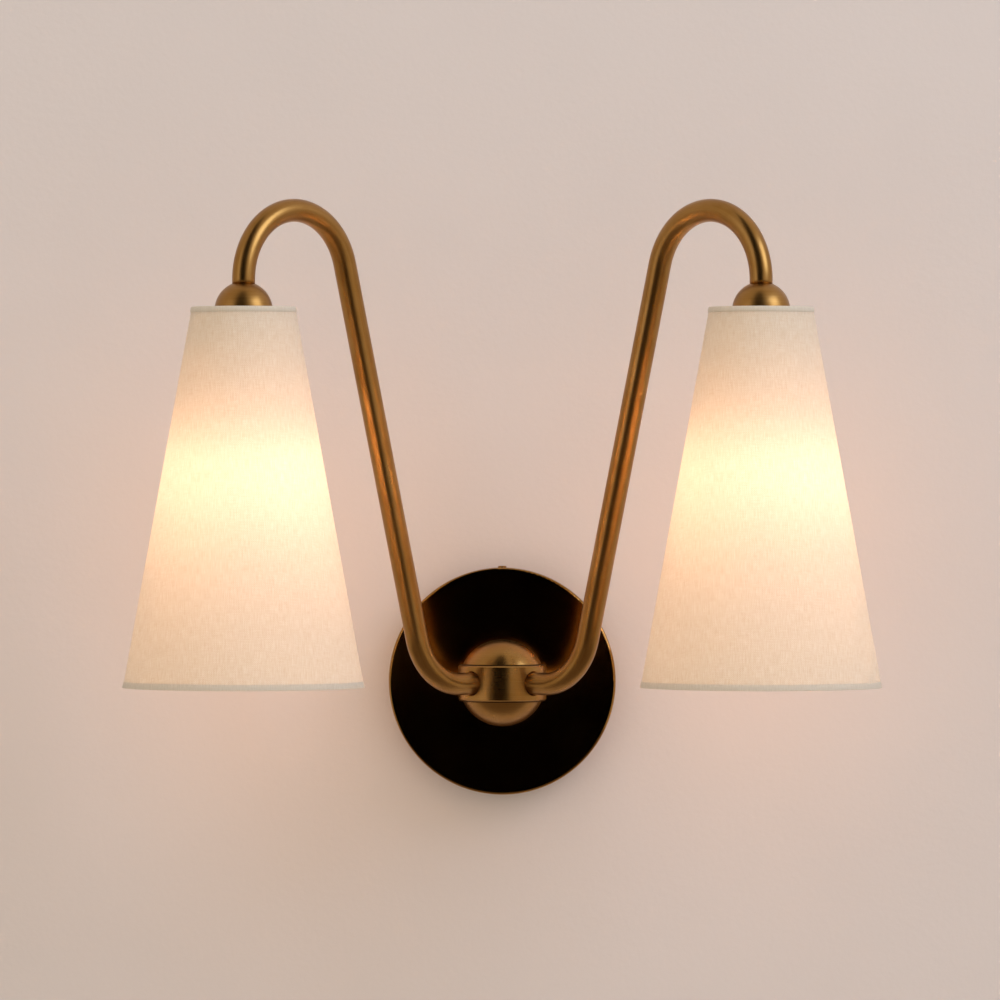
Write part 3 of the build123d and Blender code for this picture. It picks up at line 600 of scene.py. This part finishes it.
# ---- Lamps and lampholders --------------------------------------------------------------
def thread_tree():
    """A round-topped screw thread: a spiral swept with a small round section."""
    tree, source, sink = geometry_tree("screw_thread", {
        "Radius": "NodeSocketFloat", "Pitch": "NodeSocketFloat", "Height": "NodeSocketFloat",
        "Section": "NodeSocketFloat", "Foot": "NodeSocketVector", "Finish": "NodeSocketMaterial"})
    radius, height = source.outputs["Radius"], source.outputs["Height"]
    turns = add(tree, "ShaderNodeMath", {0: height, 1: source.outputs["Pitch"]}, operation="DIVIDE")
    spiral = add(tree, "GeometryNodeCurveSpiral",
                 {"Resolution": 48, "Rotations": turns.outputs[0], "Start Radius": radius,
                  "End Radius": radius, "Height": height})
    placed = add(tree, "GeometryNodeTransform",
                 {"Geometry": spiral.outputs[0], "Translation": source.outputs["Foot"]})
    section = add(tree, "GeometryNodeCurvePrimitiveCircle",
                  {"Resolution": 8, "Radius": source.outputs["Section"]})
    ridge = add(tree, "GeometryNodeCurveToMesh",
                {"Curve": placed.outputs[0], "Profile Curve": section.outputs[0], "Fill Caps": True})
    smooth = add(tree, "GeometryNodeSetShadeSmooth", {"Geometry": ridge.outputs[0]})
    real = add(tree, "GeometryNodeRealizeInstances", {"Geometry": smooth.outputs[0]})
    finish = add(tree, "GeometryNodeSetMaterial",
                 {"Geometry": real.outputs[0], "Material": source.outputs["Finish"]})
    tree.links.new(finish.outputs[0], sink.inputs[0])
    return tree


screw_thread = thread_tree()


def threaded(name, foot, radius, pitch, height, section, finish):
    """A screw thread that climbs from its foot round a lamp's axis, all sizes in millimetres."""
    sizes = {"Radius": radius * MM, "Pitch": pitch * MM, "Height": height * MM, "Section": section * MM,
             "Foot": [v * MM for v in foot], "Finish": finish}
    return grown(name, screw_thread, sizes)


def bulb_outline():
    """Half section of the candle-shaped glass, from inside its base to its tip."""
    neck_r, span_points = bulb_knots[0][0], 12
    points = [(0.0, base_rim_z + bulb_neck_h), (neck_r, base_rim_z + bulb_neck_h), (neck_r, base_rim_z)]
    for (r, below, out), (next_r, next_below, into) in zip(bulb_knots, bulb_knots[1:]):
        a, b = Vector((r, base_rim_z - below, 0)), Vector((next_r, base_rim_z - next_below, 0))
        curve = interpolate_bezier(a, a + Vector((*out, 0)), b - Vector((*into, 0)), b, span_points)
        points += [(max(p.x, 0.0), p.y) for p in curve[1:]]
    return points


def base_outline():
    """Half section of the bulb's screw base: a core under the thread, and a rim with the glass's bore."""
    top_z, top_ease = base_rim_z + base_h, 0.6
    rim_h, rim_rise, bore_h = 2.0, 2.6, 1.0
    return [
        (0.0, top_z), (base_core_r - top_ease, top_z), (base_core_r, top_z - top_ease),
        (base_core_r, base_rim_z + rim_rise), (base_rim_r, base_rim_z + rim_h), (base_rim_r, base_rim_z),
        (base_bore_r, base_rim_z), (base_bore_r, base_rim_z + bore_h), (0.0, base_rim_z + bore_h),
    ]


def holder_outline():
    """Half section of the lampholder: neck, wiring body, the flange that the shade hangs under and the
    skirt, then back up through the mouth, the screw shell's bore, the partition and the chamber."""
    body_z = crown_z - holder_neck_h
    flange_top_z = body_z - holder_body_h
    flange_z = flange_top_z - holder_flange_h
    mouth_z = skirt_z + holder_mouth_h
    chamber_top_z = body_z - holder_roof_t
    partition_z = chamber_top_z - holder_chamber_h
    shell_top_z = partition_z - holder_partition_h
    neck_ease, body_ease, flange_ease, lip_ease, skirt_ease, mouth_ease = 0.3, 0.5, 0.3, 0.4, 0.6, 0.4
    return [
        (nipple_bore_r, crown_z), (holder_neck_r - neck_ease, crown_z),
        (holder_neck_r, crown_z - neck_ease), (holder_neck_r, body_z),
        (holder_body_r - body_ease, body_z), (holder_body_r, body_z - body_ease),
        (holder_body_r, flange_top_z), (holder_flange_r - lip_ease, flange_top_z),
        (holder_flange_r, flange_top_z - flange_ease), (holder_flange_r, flange_z + flange_ease),
        (holder_flange_r - flange_ease, flange_z), (holder_skirt_r, flange_z),
        (holder_skirt_r, skirt_z + skirt_ease), (holder_skirt_r - skirt_ease, skirt_z),
        (holder_mouth_r + mouth_ease, skirt_z), (holder_mouth_r, skirt_z + mouth_ease),
        (holder_mouth_r, mouth_z), (shell_bore_r, mouth_z), (shell_bore_r, shell_top_z),
        (contact_hole_r, shell_top_z), (contact_hole_r, partition_z), (holder_chamber_r, partition_z),
        (holder_chamber_r, chamber_top_z), (nipple_bore_r, chamber_top_z),
    ]


for side, sign in sides:
    x, y = sign * lamp_x, lamp_y
    bulb = turned(f"bulb_opal_{side}", bulb_outline(), x, y, opal_glass, steps=48)
    seat(bulb, f"bulb_{side}", "opal_glass", f"bulb_glass_{side}")
    shell = turned(f"bulb_base_core_{side}", base_outline(), x, y, nickel_plate, steps=64)
    seat(shell, f"bulb_{side}", "nickel_shell", f"bulb_base_{side}")
    base_thread = threaded(f"bulb_base_thread_{side}", (x, y, base_rim_z + base_thread_rise),
                           radius=5.3, pitch=2.54, height=12.0, section=0.65, finish=nickel_plate)
    seat(base_thread, f"bulb_{side}", "nickel_shell")

    holder = turned(f"lampholder_body_{side}", holder_outline(), x, y, phenolic, closed=True)
    seat(holder, "fixture", "moulded_phenolic", f"lampholder_{side}")
    skirt_thread = threaded(f"lampholder_thread_{side}", (x, y, skirt_z + skirt_thread_rise),
                            radius=13.2, pitch=2.5, height=24.0, section=0.75, finish=phenolic)
    seat(skirt_thread, "fixture", "moulded_phenolic")

    dress(black_glass, f"bulb_contact_{side}")
    dress(phenolic, f"shade_ring_{side}")
    dress(cup_brass[side], f"socket_cap_{side}")
    dress(nickel_plate, f"screw_shell_{side}", f"centre_contact_{side}")
    dress(zinc_plate, f"holder_nipple_{side}")
    dress(lead_cover, f"leads_{side}")

# ---- Hub, canopy and what they hide ------------------------------------------------------
dress(hub_brass, "hub_body", "hub_cap_top", "hub_cap_bottom")
dress(canopy_brass, "canopy", "hub_collar", "canopy_set_screw")
dress(zinc_plate, "wall_bracket", "nipple_washer", "nipple_nut", "hub_nipple")
dress(green_dye, "ground_screw")
dress(orange_cap, "wire_connectors")


# ---- Room -------------------------------------------------------------------------------
def painted_wall(name, colour, darker):
    """Matt emulsion on plaster: pale, with a soft roller stipple. It is clear from behind, so
    the part can be seen from the wall's side."""
    material, tree = blank_material(name)
    place = add(tree, "ShaderNodeTexCoord").outputs["Object"]
    stipple = add(tree, "ShaderNodeTexNoise", {"Vector": place, "Scale": 1 / (3.85 * MM), "Detail": 3.0})
    trowel = add(tree, "ShaderNodeTexNoise",
                 {"Vector": place, "Scale": 1 / (111 * MM), "Detail": 2.0}).outputs["Fac"]
    heights = add(tree, "ShaderNodeMath", {0: trowel, 1: 6.0, 2: stipple.outputs["Fac"]},
                  operation="MULTIPLY_ADD")
    colours = add(tree, "ShaderNodeMix", {"Factor": trowel, 6: tone(colour), 7: tone(darker)},
                  data_type="RGBA")
    relief = add(tree, "ShaderNodeBump",
                 {"Height": heights.outputs[0], "Strength": 0.25, "Distance": 0.4 * MM})
    emulsion = add(tree, "ShaderNodeBsdfPrincipled",
                   {"Base Color": colours.outputs[2], "Roughness": 0.85, "Specular IOR Level": 0.3,
                    "Normal": relief.outputs[0]})
    clear = add(tree, "ShaderNodeBsdfTransparent")
    back = add(tree, "ShaderNodeNewGeometry").outputs["Backfacing"]
    both = add(tree, "ShaderNodeMixShader", {0: back, 1: emulsion.outputs[0], 2: clear.outputs[0]})
    add(tree, "ShaderNodeOutputMaterial", {"Surface": both.outputs[0]})
    return material


def reflection_card(name, colour):
    """A studio card that only reflections show: a fixed glow of one colour, the same from every side, painted
    into the metal's reflections as the room's dark side.
    """
    material, tree = blank_material(name)
    cloth = add(tree, "ShaderNodeEmission", {"Color": tone(colour), "Strength": 1.0})
    add(tree, "ShaderNodeOutputMaterial", {"Surface": cloth.outputs[0]})
    return material


room_half_w, room_front_y = 3000, -5000
wall_y, wall_top_z, floor_z = 0.3, 2500, -1500


def level_sheet(name, back_y, z, material):
    """A sheet as wide as the room, from back_y to the room's front."""
    corners = [(-room_half_w, back_y, z), (-room_half_w, room_front_y, z),
               (room_half_w, room_front_y, z), (room_half_w, back_y, z)]
    return piece(name, corners, [(0, 1, 2, 3)], material)


def curved_card(name, radius, heights, azimuths, material, steps=12):
    """A piece of a large ball round the hub, between two heights and two azimuths in degrees."""
    row = steps + 1
    corners, faces = [], []
    for k in range(row):
        h = radians(heights[0] + (heights[1] - heights[0]) * k / steps)
        for j in range(row):
            a = radians(azimuths[0] + (azimuths[1] - azimuths[0]) * j / steps)
            corners.append((radius * sin(a) * cos(h), hub_y - radius * cos(a) * cos(h), radius * sin(h)))
            if k < steps and j < steps:
                first = k * row + j
                faces.append((first, first + 1, first + row + 1, first + row))
    return piece(name, corners, faces, material)


wall = piece("wall", [(-room_half_w, wall_y, floor_z), (room_half_w, wall_y, floor_z),
                      (room_half_w, wall_y, wall_top_z), (-room_half_w, wall_y, wall_top_z)],
             [(0, 1, 2, 3)], painted_wall("wall_emulsion", "#D1CAC7", "#CDC6C3"))
floor = level_sheet("floor", back_y=wall_y, z=floor_z,
                    material=painted_wall("floor_pale", "#E0DAD5", "#DBD5CF"))

# Dark cards behind the camera and just over the floor: the room's dark side, seen in gloss alone.
card = curved_card("card", radius=4600, heights=(-20, 80), azimuths=(-38, 19),
                   material=reflection_card("black_card", "#000000"))
dark_floor = level_sheet("dark_floor", back_y=-50, z=floor_z + 5,
                         material=reflection_card("brown_card", "#7C6B5C"))
for dark in (card, dark_floor):
    dark.visible_camera = dark.visible_diffuse = dark.visible_shadow = dark.visible_transmission = False


# ---- Camera and light, in metres --------------------------------------------------------
# A long lens 4 m from the wall, level, at the height of the shades.
camera = new_object("camera", bpy.data.cameras.new("camera"))
camera.location = (-0.0013, -3.994, 0.1147)
camera.rotation_euler = (radians(90), 0.0, 0.0)
camera.data.lens, camera.data.sensor_width = 249.9, 36.0
camera.data.shift_y = -0.0191
bpy.context.scene.camera = camera
bpy.context.scene.view_settings.view_transform = "Standard"


def soft_light(name, place, aim, width, tall, power, colour):
    """A soft area light at a place, facing a point, that the camera doesn't see."""
    light = bpy.data.lights.new(name, "AREA")
    light.shape, light.size, light.size_y = "RECTANGLE", width, tall
    light.energy, light.color = power, tone(colour)[:3]
    made = new_object(name, light)
    made.location = place
    made.rotation_euler = (Vector(aim) - Vector(place)).to_track_quat("-Z", "Y").to_euler()
    made.visible_camera = False
    return made


middle = Vector((0, hub_y * MM, 0.08))


def around(azimuth, height, distance):
    """A place seen from the middle of the sconce at an azimuth and a height in degrees."""
    a, h = radians(azimuth), radians(height)
    return middle + distance * Vector((sin(a) * cos(h), -cos(a) * cos(h), sin(h)))


# Cool light from the room: a large one high on the right, a weak one on the left, a little from above.
soft_light("key_right", around(57, 30, 3.0), middle, width=1.7, tall=1.7, power=37, colour="#D1E2FF")
soft_light("fill_left", around(-52, 12, 3.0), middle, width=1.4, tall=2.4, power=4.5, colour="#E2E9FF")
top = soft_light("top", (0.0, -0.7, 1.3), (0.0, 0.0, 0.35), width=2.2, tall=1.3, power=3.2, colour="#DDEBFF")
top.visible_glossy = False
# The warm light that the lamps throw on the wall behind their shades.
for side, sign in sides:
    place, aim = (sign * lamp_x * MM, -0.115, 0.055), (sign * lamp_x * MM, 0.0, 0.055)
    spill = soft_light(f"spill_{side}", place, aim, width=0.1, tall=0.2, power=0.074, colour="#FFB272")
    spill.visible_glossy = False
# The wall keeps light from the canopy's hollow; this stands in for it in a view from behind.
hollow = soft_light("hollow", (0.0, 0.0002, 0.0), (0.0, -0.1, 0.0),
                    width=0.12, tall=0.12, power=0.032, colour="#FFF0DF")
hollow.data.shape = "DISK"

# The world lights the object warmly from all round. Where it is seen itself, straight on, in gloss
# or through glass, it is a little dimmer.
world = bpy.data.worlds.new("studio")
bpy.context.scene.world = world
world.use_nodes = True
sky = world.node_tree
sky.nodes.clear()
rays = add(sky, "ShaderNodeLightPath").outputs
direct = add(sky, "ShaderNodeMath", {0: rays["Is Camera Ray"], 1: rays["Is Glossy Ray"]}, operation="MAXIMUM")
seen = add(sky, "ShaderNodeMath", {0: direct.outputs[0], 1: rays["Is Transmission Ray"]}, operation="MAXIMUM")
ambient = add(sky, "ShaderNodeBackground", {"Color": tone("#FFEFDA"), "Strength": 0.87})
pale = add(sky, "ShaderNodeBackground", {"Color": tone("#FAEAD6"), "Strength": 0.68})
shown = add(sky, "ShaderNodeMixShader", {0: seen.outputs[0], 1: ambient.outputs[0], 2: pale.outputs[0]})
add(sky, "ShaderNodeOutputWorld", {"Surface": shown.outputs[0]})

bpy.context.view_layer.update()
